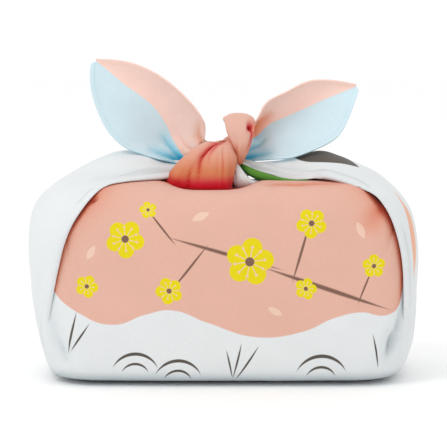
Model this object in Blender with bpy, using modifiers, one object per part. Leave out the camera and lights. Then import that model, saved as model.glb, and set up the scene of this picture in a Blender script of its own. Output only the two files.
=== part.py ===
"""A furoshiki wrap: one square cloth folded round a lunch box and knotted on top.

The box itself is hidden, so only the cloth is modelled, as a hollow wrap.
Millimetres below, metres in the scene. X runs along the wrap, Y to its back, Z up.
The origin is on the table, under the middle of the wrap.
"""

import math

import bmesh
import bpy
from mathutils import Vector

MM = 0.001
OBJECT_NAME = "furoshiki_cloth"

# Driving sizes
SHEET = 2.0            # cloth as built, with the air in its weave and its hem
LONG_BOW = 0.8         # how far the front and the back swell in the middle
END_BOW = 2.2          # how far the ends swell in the middle
BAND_BOW = 0.2         # how early a band turns towards its edges
WRAP_HEIGHT = 83.6     # table to the top of the lower layer
CORNER_STEPS = 6       # faces round each upright corner of the wrap
LONG_STEPS = 8         # faces along the front and the back
END_STEPS = 5          # faces along each end
FLAP_STEPS = 12        # faces across the front flap
BAND_STEPS = 8         # faces from a band's crown to either edge
ROPE_SIDES = 12        # faces round a gathered rope
PLEAT_DEPTH = 0.09     # pleats of a rope, as a share of its radius
EAR_STEPS = 3          # faces from an ear's fold to either edge

# The wrap itself, from the table up to the mouth that the front flap covers
# height, left, right, front, back, corner radius
WRAP = (
    (0.0, -75.0, 76.5, -35.5, 35.5, 20.0),
    (1.3, -78.6, 80.0, -39.2, 39.2, 21.0),
    (4.5, -81.0, 82.6, -41.6, 41.6, 21.0),
    (9.0, -82.5, 84.8, -42.6, 42.6, 20.5),
    (17.0, -84.4, 87.0, -43.0, 43.0, 20.0),
    (26.0, -86.0, 88.0, -43.2, 43.2, 20.0),
    (35.0, -87.2, 88.4, -43.3, 43.2, 20.0),
    (46.0, -88.2, 88.2, -43.3, 43.2, 20.0),
    (57.0, -88.0, 87.6, -43.2, 43.0, 20.0),
    (66.5, -86.8, 86.2, -42.8, 42.6, 20.0),
    (73.0, -84.0, 82.8, -41.4, 41.6, 19.0),
    (78.0, -79.6, 78.0, -38.8, 39.6, 18.0),
    (81.6, -72.6, 71.0, -34.6, 36.0, 16.0),
    (83.2, -60.0, 59.0, -27.0, 29.0, 13.0),
    (WRAP_HEIGHT, -30.0, 30.0, -15.0, 3.0, 5.0),
)

# The front flap, out of the front wall, over the rim and back across the top
# depth, height, left edge, right edge
FLAP = (
    (-42.5, 52.0, -74.0, 78.0),
    (-43.0, 59.0, -74.0, 78.0),
    (-43.3, 66.0, -73.0, 77.5),
    (-43.1, 72.0, -71.0, 76.5),
    (-42.2, 77.2, -68.0, 74.0),
    (-40.0, 82.0, -64.0, 70.0),
    (-35.4, 85.2, -60.0, 65.0),
    (-28.0, 86.6, -55.0, 59.0),
    (-17.0, 87.0, -47.0, 50.0),
    (-3.0, 86.8, -36.0, 38.0),
    (12.0, 86.4, -23.0, 25.0),
    (25.0, 85.9, -10.0, 12.0),
    (33.0, 85.5, -2.0, 4.0),
)
FLAP_FLAT = 64.0       # half width that lies flat before it follows the wrap's corners
FLAP_CORNER = 20.0     # radius of those corners

# Each band rises over its end of the wrap and narrows towards the knot
# crown x, crown z, straight half width, edge x, edge z, front edge y, back edge y
LEFT_BAND = (
    (-85.2, 32.0, 24.0, -77.0, 30.0, -36.5, 36.5),
    (-87.9, 46.0, 24.0, -74.6, 44.0, -40.9, 40.8),
    (-89.1, 58.0, 23.0, -72.2, 55.0, -42.6, 42.5),
    (-88.6, 69.0, 22.0, -69.8, 64.0, -42.9, 42.8),
    (-87.0, 76.5, 20.0, -66.2, 72.5, -43.2, 42.6),
    (-84.0, 81.8, 17.0, -60.8, 80.8, -41.8, 41.0),
    (-79.0, 86.6, 14.0, -55.6, 85.6, -37.4, 38.0),
    (-70.6, 91.8, 10.0, -50.6, 88.2, -32.0, 33.0),
    (-59.4, 97.8, 7.0, -44.0, 89.0, -27.0, 28.0),
    (-47.6, 102.0, 4.5, -37.4, 89.2, -22.5, 23.0),
    (-36.0, 103.2, 3.0, -30.0, 89.6, -17.5, 17.5),
    (-25.5, 100.8, 2.0, -23.0, 89.8, -12.5, 12.5),
    (-13.0, 98.0, 1.5, -13.0, 90.2, -8.0, 9.0),
)
RIGHT_BAND = (
    (85.4, 30.0, 24.0, 79.8, 26.0, -35.3, 35.3),
    (88.0, 43.0, 24.0, 79.6, 42.0, -37.7, 37.8),
    (88.9, 55.0, 23.0, 78.8, 55.0, -38.8, 39.0),
    (87.9, 67.0, 22.0, 76.9, 65.0, -39.5, 39.4),
    (85.8, 75.4, 20.0, 74.4, 73.2, -40.4, 39.4),
    (83.2, 80.4, 17.0, 71.2, 80.0, -40.4, 38.4),
    (78.4, 86.3, 14.0, 67.0, 84.4, -38.9, 36.8),
    (69.6, 92.7, 10.0, 60.4, 87.2, -34.0, 33.0),
    (61.2, 96.6, 7.0, 52.8, 88.8, -29.0, 28.0),
    (53.0, 99.8, 4.5, 44.8, 89.4, -24.0, 23.0),
    (43.6, 102.0, 3.0, 36.4, 88.6, -18.5, 18.5),
    (31.0, 99.6, 2.0, 28.6, 88.0, -13.5, 13.5),
    (19.5, 96.9, 1.5, 20.0, 88.6, -9.5, 9.5),
    (8.5, 95.8, 1.0, 9.0, 90.2, -6.5, 7.0),
)

# The gathered ropes: middle x, y, z, half width, half thickness, tilt of the width in degrees
# Left band into the knot, up as the loop, over its top and back to the left ear
LEFT_ROPE = (
    (-31.0, 2.0, 96.0, 8.0, 6.5, -90.0),
    (-21.0, 2.0, 95.5, 6.6, 6.0, -90.0),
    (-11.0, 0.0, 95.0, 6.0, 5.5, -90.0),
    (-1.0, -1.0, 94.5, 5.6, 5.0, -85.0),
    (6.0, -5.0, 96.0, 5.0, 4.6, -45.0),
    (9.2, -10.5, 100.6, 4.4, 4.0, -12.0),
    (8.8, -12.3, 105.6, 5.2, 3.8, 0.0),
    (7.8, -12.4, 111.2, 6.6, 3.6, 0.0),
    (7.4, -9.6, 115.2, 7.0, 3.2, 0.0),
    (6.6, -4.6, 116.4, 6.9, 2.9, 0.0),
    (4.8, 0.4, 113.6, 6.6, 3.6, 5.0),
    (1.4, 3.4, 108.4, 6.0, 4.4, 25.0),
    (-4.0, 4.2, 104.4, 5.4, 4.8, 60.0),
    (-10.5, 3.2, 102.6, 5.4, 4.6, 80.0),
    (-16.5, 1.8, 102.6, 5.6, 3.6, 90.0),
    (-22.0, 2.6, 104.0, 4.6, 1.8, 90.0),
)
# Right band under the loop, up as the broad strand in front, and on to the right ear
RIGHT_ROPE = (
    (32.0, 0.0, 95.4, 7.5, 6.0, 90.0),
    (22.0, -1.0, 94.2, 5.6, 5.0, 90.0),
    (12.0, -3.0, 93.4, 4.6, 4.6, 90.0),
    (3.5, -6.0, 91.6, 4.8, 4.6, 80.0),
    (-3.5, -8.5, 89.8, 8.5, 3.4, 40.0),
    (-9.6, -11.5, 89.2, 13.6, 2.8, 0.0),
    (-10.8, -14.6, 91.0, 14.8, 4.2, 0.0),
    (-9.0, -16.8, 95.2, 13.6, 5.4, 2.0),
    (-6.4, -17.2, 99.8, 12.2, 5.8, 3.0),
    (-5.2, -16.2, 103.6, 10.0, 5.4, 6.0),
    (-3.6, -14.0, 106.4, 6.8, 4.8, 10.0),
    (-0.5, -10.4, 107.4, 4.4, 4.2, -20.0),
    (5.5, -4.5, 107.6, 4.6, 4.4, -60.0),
    (11.0, -0.5, 107.0, 6.4, 4.6, -85.0),
    (16.0, 1.4, 107.8, 6.8, 3.4, -90.0),
    (21.5, 2.8, 109.6, 5.6, 1.6, -90.0),
)

# The two free corners, spread like leaves: three edges of each, base to tip
# upper x, y, z, fold x, y, z, lower x, y, z
LEFT_EAR = (
    (-12.0, 1.6, 104.8, -15.4, 3.4, 101.4, -18.4, 1.8, 98.8),
    (-8.4, -2.0, 110.4, -19.0, 6.0, 103.4, -28.3, -5.5, 99.6),
    (-9.6, -5.0, 116.0, -23.0, 6.5, 108.4, -37.4, -9.0, 101.6),
    (-14.2, -7.0, 123.0, -26.8, 5.0, 114.6, -45.6, -10.5, 105.2),
    (-21.8, -8.0, 130.6, -31.6, 2.5, 121.6, -52.2, -10.0, 111.8),
    (-31.6, -8.0, 137.6, -38.2, 0.0, 127.4, -57.0, -10.0, 121.4),
    (-42.2, -7.0, 142.0, -45.6, -2.0, 132.8, -59.6, -9.0, 131.2),
    (-51.2, -6.0, 143.4, -52.2, -3.8, 138.8, -59.6, -7.5, 137.8),
    (-57.4, -5.6, 143.2, -57.8, -5.0, 142.4, -59.0, -6.2, 141.2),
)
RIGHT_EAR = (
    (12.0, -1.0, 111.4, 10.4, 2.0, 104.4, 10.2, 1.0, 98.8),
    (16.8, -3.5, 118.8, 15.6, 4.5, 108.6, 20.4, -3.0, 98.4),
    (20.4, -5.5, 124.6, 21.4, 5.0, 114.0, 31.4, -6.0, 99.4),
    (28.6, -6.5, 128.8, 30.4, 3.5, 118.2, 41.6, -7.5, 103.0),
    (38.0, -6.5, 133.4, 38.6, 1.0, 122.0, 51.0, -8.0, 108.4),
    (46.2, -5.5, 134.2, 46.2, -1.0, 125.6, 55.8, -7.0, 115.8),
    (54.0, -4.5, 133.4, 53.4, -2.4, 128.6, 59.0, -5.5, 123.8),
    (59.6, -3.6, 131.8, 59.4, -3.0, 131.2, 60.6, -3.8, 129.6),
)

# Soft folds: two ends in space, half width, height above the cloth (minus sinks)
FOLDS = (
    ((-75.5, -40.5, 42.0), (-76.0, -40.0, 31.0), 3.6, -1.2),
    ((-76.0, -40.0, 31.0), (-71.0, -42.0, 20.0), 4.6, -2.2),
    ((80.0, -37.0, 38.0), (79.5, -38.0, 30.0), 3.2, -1.4),
    ((79.5, -38.0, 30.0), (75.0, -40.5, 13.0), 4.8, -3.0),
    ((-79.0, 39.5, 33.0), (-74.0, 42.0, 16.0), 4.6, -1.8),
    ((81.0, 38.5, 30.0), (76.0, 41.5, 15.0), 4.6, -1.6),
    ((-70.0, -22.0, 90.0), (-22.0, -13.0, 94.0), 3.0, -2.0),
    ((-66.0, 20.0, 92.0), (-24.0, 10.0, 96.0), 3.4, -1.8),
    ((-82.0, 6.0, 83.0), (-46.0, 6.0, 101.0), 5.0, 1.0),
    ((74.0, -24.0, 85.0), (26.0, -12.0, 94.0), 3.4, -1.8),
    ((72.0, 20.0, 90.0), (24.0, 8.0, 97.0), 3.4, -1.8),
    ((62.0, -34.0, 84.0), (34.0, -28.0, 88.0), 3.0, -0.8),
    ((-34.0, -36.0, 86.0), (-4.0, -30.0, 88.0), 4.0, -0.7),
)


def between(rows, steps):
    """The rows with smooth in-between ones, so many steps to each gap."""
    smooth = []
    last = len(rows) - 1
    for index in range(last):
        nearby = (rows[max(index - 1, 0)], rows[index], rows[index + 1], rows[min(index + 2, last)])
        for step in range(steps):
            t = step / steps
            smooth.append([
                b + 0.5 * t * (c - a + t * (2 * a - 5 * b + 4 * c - d + t * (3 * (b - c) + d - a)))
                for a, b, c, d in zip(*nearby)
            ])
    smooth.append(list(rows[last]))
    return smooth


def wrap_ring(height, left, right, front, back, radius):
    """One level of the wrap: a rectangle with round corners and swelling sides, from above."""
    low_x, high_x = left + END_BOW + radius, right - END_BOW - radius
    low_y, high_y = front + LONG_BOW + radius, back - LONG_BOW - radius
    corners = (
        (high_x, high_y, 0, LONG_STEPS, LONG_BOW),
        (low_x, high_y, 90, END_STEPS, END_BOW),
        (low_x, low_y, 180, LONG_STEPS, LONG_BOW),
        (high_x, low_y, 270, END_STEPS, END_BOW),
    )
    ring = []
    for number, (x, y, start, side_steps, bow) in enumerate(corners):
        for step in range(CORNER_STEPS + 1):
            turn = math.radians(start + 90 * step / CORNER_STEPS)
            ring.append(Vector((x + radius * math.cos(turn), y + radius * math.sin(turn), height)))
        next_x, next_y = corners[(number + 1) % 4][:2]
        outward = Vector((math.cos(turn), math.sin(turn), 0))
        run = Vector((next_x - x, next_y - y, 0))
        side_start = ring[-1]
        for step in range(1, side_steps):
            t = step / side_steps
            ring.append(side_start + run * t + outward * bow * 4 * t * (1 - t))
    return ring


def flap_line(depth, height, left, right):
    """One line across the front flap, bent back where it passes the wrap's corners."""
    line = []
    for step in range(FLAP_STEPS + 1):
        x = left + (right - left) * step / FLAP_STEPS
        past = max(0.0, abs(x) - FLAP_FLAT)
        bend = LONG_BOW * (x / FLAP_FLAT) ** 2 + FLAP_CORNER - math.sqrt(FLAP_CORNER**2 - past**2)
        line.append(Vector((x, depth + bend, height)))
    return line


def band_line(crown_x, crown_z, straight, edge_x, edge_z, front, back):
    """One line over a band, from its front edge over the crown to its back edge."""
    line = []
    for step in range(-BAND_STEPS, BAND_STEPS + 1):
        reach, side = (abs(front), -1) if step < 0 else (back, 1)
        turn = 0.5 * math.pi * abs(step) / BAND_STEPS
        drop = 1 - math.cos(turn) * (1 - BAND_BOW * math.sin(turn) ** 2)
        depth = straight * abs(step) / BAND_STEPS + (reach - straight) * math.sin(turn)
        line.append(Vector((
            crown_x + (edge_x - crown_x) * drop,
            side * depth,
            crown_z + (edge_z - crown_z) * drop,
        )))
    return line


def rope_ring(middle, forward, width, thickness, tilt):
    """One section of a rope, as wide as its tilt says and thick the other way, with shallow pleats."""
    turn = math.radians(tilt)
    across = Vector((math.cos(turn), 0, math.sin(turn)))
    outward = across.cross(forward).normalized()
    ring = []
    for side in range(ROPE_SIDES):
        angle = 2 * math.pi * side / ROPE_SIDES
        reach = across * width * math.cos(angle) + outward * thickness * math.sin(angle)
        ring.append(middle + reach * (1 - PLEAT_DEPTH * (side % 2)))
    return ring


def rope_rings(rows):
    """The sections of a rope along its smooth path."""
    smooth = between(rows, 2)
    path = [Vector(row[:3]) for row in smooth]
    rings = []
    for index, row in enumerate(smooth):
        forward = path[min(index + 1, len(path) - 1)] - path[max(index - 1, 0)]
        rings.append(rope_ring(path[index], forward.normalized(), *row[3:]))
    return rings


def ear_line(row):
    """One line across an ear: upper edge, soft fold, lower edge."""
    upper, fold, lower = Vector(row[0:3]), Vector(row[3:6]), Vector(row[6:9])
    half = [upper.lerp(fold, step / EAR_STEPS) for step in range(EAR_STEPS)]
    line = half + [fold.lerp(lower, step / EAR_STEPS) for step in range(EAR_STEPS + 1)]
    soft = [(a + 2 * b + c) / 4 for a, b, c in zip(line, line[1:], line[2:])]
    return [line[0]] + soft + [line[-1]]


def press_folds(mesh):
    """Moves each point in or out where a soft fold passes it."""
    mesh.normal_update()
    moves = []
    for vert in mesh.verts:
        shift = 0.0
        for start, end, half_width, height in FOLDS:
            start, run = Vector(start), Vector(end) - Vector(start)
            along = max(0.0, min(1.0, (vert.co - start).dot(run) / run.length_squared))
            distance = (vert.co - start - run * along).length
            shift += height * math.exp(-((distance / half_width) ** 2))
        moves.append(vert.normal * shift)
    for vert, move in zip(mesh.verts, moves):
        if vert.co.z > 0:
            vert.co += move


def loft(name, lines, ring=False, bottom=False, top=False):
    """An object whose faces join each line of points to the next."""
    mesh = bmesh.new()
    rows = [[mesh.verts.new(point) for point in line] for line in lines]
    count = len(rows[0])
    for low, high in zip(rows, rows[1:]):
        for i in range(count if ring else count - 1):
            k = (i + 1) % count
            mesh.faces.new((low[i], low[k], high[k], high[i]))
    if bottom:
        mesh.faces.new(reversed(rows[0]))
    if top:
        mesh.faces.new(rows[-1])
    if bottom and top:
        bmesh.ops.recalc_face_normals(mesh, faces=mesh.faces[:])
    press_folds(mesh)
    for vert in mesh.verts:
        vert.co *= MM
    data = bpy.data.meshes.new(name)
    mesh.to_mesh(data)
    mesh.free()
    data.shade_smooth()
    return bpy.data.objects.new(name, data)


def thicken(item, offset=-1.0):
    """Gives an open surface the cloth's thickness."""
    solid = item.modifiers.new("Sheet", "SOLIDIFY")
    solid.thickness = SHEET * MM
    solid.offset = offset
    solid.use_even_offset = True
    return item


def cloth_material():
    """Printed cotton, white ground."""
    material = bpy.data.materials.new("printed cotton")
    material.use_nodes = True
    shader = material.node_tree.nodes["Principled BSDF"]
    shader.inputs["Base Color"].default_value = (0.82, 0.80, 0.78, 1.0)
    shader.inputs["Roughness"].default_value = 0.85
    shader.inputs["Metallic"].default_value = 0.0
    return material


for item in list(bpy.data.objects):
    bpy.data.objects.remove(item, do_unlink=True)

parts = bpy.data.collections.new("furoshiki wrap")
joined = bpy.data.collections.new("joined into the cloth")
bpy.context.scene.collection.children.link(parts)
bpy.context.scene.collection.children.link(joined)

cloth = thicken(loft(OBJECT_NAME, [wrap_ring(*row) for row in WRAP], ring=True, bottom=True))
cloth.data.materials.append(cloth_material())
parts.objects.link(cloth)

pieces = (
    thicken(loft("front_flap", [flap_line(*row) for row in FLAP])),
    thicken(loft("left_band", [band_line(*row)[::-1] for row in between(LEFT_BAND, 2)])),
    thicken(loft("right_band", [band_line(*row) for row in between(RIGHT_BAND, 2)])),
    loft("left_rope", rope_rings(LEFT_ROPE), ring=True, bottom=True, top=True),
    loft("right_rope", rope_rings(RIGHT_ROPE), ring=True, bottom=True, top=True),
    thicken(loft("left_ear", [ear_line(row) for row in between(LEFT_EAR, 2)]), offset=0.0),
    thicken(loft("right_ear", [ear_line(row) for row in between(RIGHT_EAR, 2)]), offset=0.0),
)
for piece in pieces:
    joined.objects.link(piece)
    piece.hide_render = True
    piece.display_type = "WIRE"
union = cloth.modifiers.new("Join the cloth", "BOOLEAN")
union.operation = "UNION"
union.solver = "MANIFOLD"
union.operand_type = "COLLECTION"
union.collection = joined
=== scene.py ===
import math

import bmesh
import bpy
import numpy as np
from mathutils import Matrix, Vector, noise


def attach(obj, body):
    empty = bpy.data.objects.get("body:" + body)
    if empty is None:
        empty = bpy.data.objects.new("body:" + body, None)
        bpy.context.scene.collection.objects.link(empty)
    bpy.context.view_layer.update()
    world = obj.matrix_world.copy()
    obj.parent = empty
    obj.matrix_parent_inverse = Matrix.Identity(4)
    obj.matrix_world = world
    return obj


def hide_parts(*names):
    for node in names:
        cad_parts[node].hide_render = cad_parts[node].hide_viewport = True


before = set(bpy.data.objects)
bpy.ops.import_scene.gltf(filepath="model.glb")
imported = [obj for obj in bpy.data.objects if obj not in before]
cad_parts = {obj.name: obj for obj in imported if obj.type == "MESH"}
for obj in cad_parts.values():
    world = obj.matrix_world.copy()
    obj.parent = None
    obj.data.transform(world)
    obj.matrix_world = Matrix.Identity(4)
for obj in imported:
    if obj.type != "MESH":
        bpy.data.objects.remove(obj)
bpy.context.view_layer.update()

# The wrap: the middle of a 50 cm square of printed cotton, drawn up round a lunch box.
# The cloth is stretched over the hidden box, so it is smooth, with soft creases where it
# turns up at the corners. Millimetres; X along the wrap, Y to its back, Z up.
MM = 0.001
CLOTH = 0.5             # one layer with the air in its weave
SOFT = 1.5              # a fold rounder than this isn't a crease
DEEP = 2.0              # a crease this deep takes the full shade of a fold
WAVER = 0.22            # how far a hand-wrapped cloth strays from a plain surface
LONG_WAVE, SHORT_WAVE, SHORT_SHARE = 27.0, 9.0, 0.4     # in waves this long, the short ones lower
PRESSED = 3.0           # folds fade out below this height, where the cloth lies on the table
WRAP_STEPS = 5
LONG_BOW, END_BOW = 0.8, 2.2
CORNER_FACES, LONG_FACES, END_FACES = 12, 54, 26
# height, left, right, front, back, corner radius
WRAP = (
    (0, -20, 20, -5, 5, 3),
    (0, -50, 50, -14, 16, 12),
    (0, -71, 72.5, -24, 26, 17),
    (0.9, -75.5, 77, -30.5, 32, 19),
    (2.6, -79, 80.5, -37.6, 38.4, 21),
    (5.6, -81, 82.8, -41.3, 41.5, 21),
    (10, -82.5, 84.8, -42.6, 42.6, 20.5),
    (17, -84.4, 87, -43, 43, 20),
    (26, -86, 88, -43.2, 43.2, 20),
    (35, -87.2, 88.4, -43.3, 43.2, 20),
    (46, -88.2, 88.2, -43.3, 43.2, 20),
    (57, -88, 87.6, -43.2, 43, 20),
    (66.5, -86.8, 86.2, -42.8, 42.6, 20),
    (73, -84, 82.8, -41.4, 41.6, 19),
    (78, -79.6, 78, -38.8, 39.6, 18),
    (81.6, -72.6, 71, -34.6, 36, 16),
    (84.1, -58, 57, -26, 29, 12),
    (84.9, -40, 40, -15, 21, 9),
    (85.1, -20, 20, -5, 10, 4),
)
# half width, height, sharpness (1 is a crease, 2 is soft), places from its deepest end to where it dies out
WRAP_FOLDS = (
    (2.2, -2.4, 1.3, (-71, -41, 12), (-74.5, -39.4, 21), (-76.3, -38.9, 33), (-76, -39, 48)),
    (5.5, -1.4, 2, (-72.5, -42.5, 13), (-65, -43.2, 16), (-58, -43.3, 13)),
    (4, 0.8, 2, (-79, -38, 14), (-81, -36, 38)),
    (1.9, -3.4, 1.3, (75, -40.2, 15), (77.5, -38.6, 25), (79, -37.3, 35), (79.5, -37, 50)),
    (3.6, -3.4, 1.4, (76, -40, 21), (74.5, -41, 13), (73, -41.4, 6)),
    (4, 0.8, 2, (81, -38, 12), (83, -35, 36)),
    (2.8, -1.6, 1.4, (-74, 42, 13), (-79, 39.5, 42)),
    (3, -1.8, 1.4, (76, 41.5, 12), (81, 38.5, 40)),
    (5, -0.8, 2, (-83, 8, 8), (-89, -14, 30)),
    (5, -0.8, 2, (85, -6, 7), (89, 16, 30)),
    (6, -0.5, 2, (-60, 43, 70), (10, 43, 58)),
    (5, 0.5, 2, (70, 42, 62), (20, 43, 74)),
)


def between(rows, steps):
    """The rows of a table with smooth in-between rows, so many steps to each gap."""
    smooth = []
    last = len(rows) - 1
    for index in range(last):
        near = (rows[max(index - 1, 0)], rows[index], rows[index + 1], rows[min(index + 2, last)])
        for step in range(steps):
            t = step / steps
            smooth.append([
                b + 0.5 * t * (c - a + t * (2 * a - 5 * b + 4 * c - d + t * (3 * (b - c) + d - a)))
                for a, b, c, d in zip(*near)
            ])
    smooth.append(list(rows[last]))
    return smooth


def press(points, folds, waver, ring=False, seen=(1.0, 1.0, 1.0)):
    """Sinks and lifts a grid of points along its folds, lets the whole of it waver a little, and gives how
    much painted shade each point takes in the sharp folds.

    seen is how much X, Y and Z count where it measures how near a fold a point lies."""
    across = np.gradient(points, axis=1)
    if ring:
        across = np.roll(points, -1, axis=1) - np.roll(points, 1, axis=1)
    normal = np.cross(across, np.gradient(points, axis=0))
    normal /= np.maximum(np.linalg.norm(normal, axis=2, keepdims=True), 1e-9)
    shift, deep = np.zeros(points.shape[:2]), np.zeros(points.shape[:2])
    for half_width, height, sharpness, *places in folds:
        chain = np.array(places) * seen
        nearest, fade = np.full(shift.shape, 1e6), np.zeros(shift.shape)
        for number, (start, end) in enumerate(zip(chain, chain[1:])):
            run = end - start
            along = np.clip((points * seen - start) @ run / (run @ run), 0.0, 1.0)
            distance = np.linalg.norm(points * seen - start - along[..., None] * run, axis=2)
            closer = distance < nearest
            nearest = np.where(closer, distance, nearest)
            fade = np.where(closer, (number + along) / (len(chain) - 1), fade)
        amount = (1.0 - fade**2) * np.exp(-((nearest / half_width) ** sharpness))
        shift += height * amount
        # a sharp fold also takes painted shade, the more the deeper it sinks
        if sharpness < SOFT:
            deep = np.maximum(deep, amount * min(1.0, -height / DEEP))
    for i, j in np.ndindex(shift.shape):
        place = Vector(points[i, j])
        shift[i, j] += waver * (noise.noise(place / LONG_WAVE) + SHORT_SHARE * noise.noise(place / SHORT_WAVE))
    free = np.clip(points[..., 2] / PRESSED, 0.0, 1.0)
    return points + normal * (shift * free)[..., None], deep


def lay(name, points, deep, print_u, print_v, material, ring=False, thick=CLOTH, bottom=False):
    """A sheet over a grid of points. Its map holds the print's millimetres, and a point attribute holds the
    painted shade each point takes.
    """
    mesh = bmesh.new()
    verts = [[mesh.verts.new(point) for point in row] for row in points * MM]
    cloth_map = mesh.loops.layers.uv.new("cloth")
    count = len(verts[0])
    for i in range(len(verts) - 1):
        for j in range(count if ring else count - 1):
            k = (j + 1) % count
            face = mesh.faces.new((verts[i][j], verts[i][k], verts[i + 1][k], verts[i + 1][j]))
            for loop, (row, column) in zip(face.loops, ((i, j), (i, j + 1), (i + 1, j + 1), (i + 1, j))):
                loop[cloth_map].uv = (print_u[row][column], print_v[row][min(column, count - 1)])
    if bottom:
        mesh.faces.new(list(reversed(verts[0])))
    data = bpy.data.meshes.new(name)
    mesh.to_mesh(data)
    mesh.free()
    data.shade_smooth()
    data.materials.append(material)
    data.attributes.new("painted_shade", "FLOAT", "POINT").data.foreach_set("value", deep.ravel())
    piece = bpy.data.objects.new(name, data)
    bpy.context.scene.collection.objects.link(piece)
    if thick:
        solid = piece.modifiers.new("one layer", "SOLIDIFY")
        solid.thickness = thick * MM
        solid.offset = -1.0
        solid.use_even_offset = False
    return piece


def lengths(points, centre, ring=False):
    """How far each point of a line lies from its centre point, along the cloth."""
    closed = np.concatenate((points, points[:, :1]), axis=1) if ring else points
    steps = np.linalg.norm(np.diff(closed, axis=1), axis=2)
    run = np.concatenate((np.zeros((len(points), 1)), np.cumsum(steps, axis=1)), axis=1)
    return run - run[:, centre:centre + 1]


def wrap_ring(height, left, right, front, back, radius):
    """One level of the wrap from above: round corners and sides that swell."""
    low_x, high_x = left + END_BOW + radius, right - END_BOW - radius
    low_y, high_y = front + LONG_BOW + radius, back - LONG_BOW - radius
    corners = (
        (high_x, high_y, 0, LONG_FACES, LONG_BOW),
        (low_x, high_y, 90, END_FACES, END_BOW),
        (low_x, low_y, 180, LONG_FACES, LONG_BOW),
        (high_x, low_y, 270, END_FACES, END_BOW),
    )
    ring = []
    for number, (x, y, start, side_faces, bow) in enumerate(corners):
        for step in range(CORNER_FACES + 1):
            turn = math.radians(start + 90 * step / CORNER_FACES)
            ring.append((x + radius * math.cos(turn), y + radius * math.sin(turn), height))
        next_x, next_y = corners[(number + 1) % 4][:2]
        end_x, end_y = ring[-1][:2]
        for step in range(1, side_faces):
            t = step / side_faces
            swell = bow * 4 * t * (1 - t)
            ring.append((
                end_x + (next_x - x) * t + math.cos(turn) * swell,
                end_y + (next_y - y) * t + math.sin(turn) * swell,
                height,
            ))
    return ring


# Cotton broadcloth, woven plain and printed with pigment: matt, with a faint down that
# catches the light at its edges, and painted shade that deepens the colour in each fold.
THREAD = 0.45           # millimetres from thread to thread
DRAWN = 2.0             # the weave is drawn this much coarser, so that it shows
CLOUD, FLECK = 21.0, 0.9            # millimetres across a cloud in the dye, and across a thicker thread
OPEN, CLOSED = 0.85, 0.3            # share of open sky where the shade of a fold starts, and where it is full
FOLD_SHADE_GAMMA, FOLD_SHADE_LIFT = 1.6, 0.45     # painted shade: how much stronger and how much brighter the colour is made deep in a fold
WHITE, SALMON, BLUE = "#D9DCDD", "#D9AB9A", "#CBE2EA"
YELLOW, BROWN, CREAM, CHARCOAL = "#DCCB10", "#7A5B4E", "#E2C0AE", "#565049"
# the last two are the knot's painted shade: deep red, and coral between it and the salmon
GREEN, PEACH, KNOT_DEEP_SHADE, KNOT_HALF_SHADE = "#568A34", "#E2B49C", "#CE2848", "#D0825A"


def linear(code):
    """An sRGB hex colour as linear light."""
    parts = [int(code[i:i + 2], 16) / 255 for i in (1, 3, 5)]
    return [p / 12.92 if p <= 0.04045 else ((p + 0.055) / 1.055) ** 2.4 for p in parts] + [1.0]


def add(tree, kind, inputs=None, **settings):
    """Adds a node with its settings, and links or sets its inputs."""
    made = tree.nodes.new(kind)
    for name, value in settings.items():
        setattr(made, name, value)
    for key, value in (inputs or {}).items():
        if isinstance(value, bpy.types.NodeSocket):
            tree.links.new(value, made.inputs[key])
        else:
            made.inputs[key].default_value = value
    return made


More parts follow.
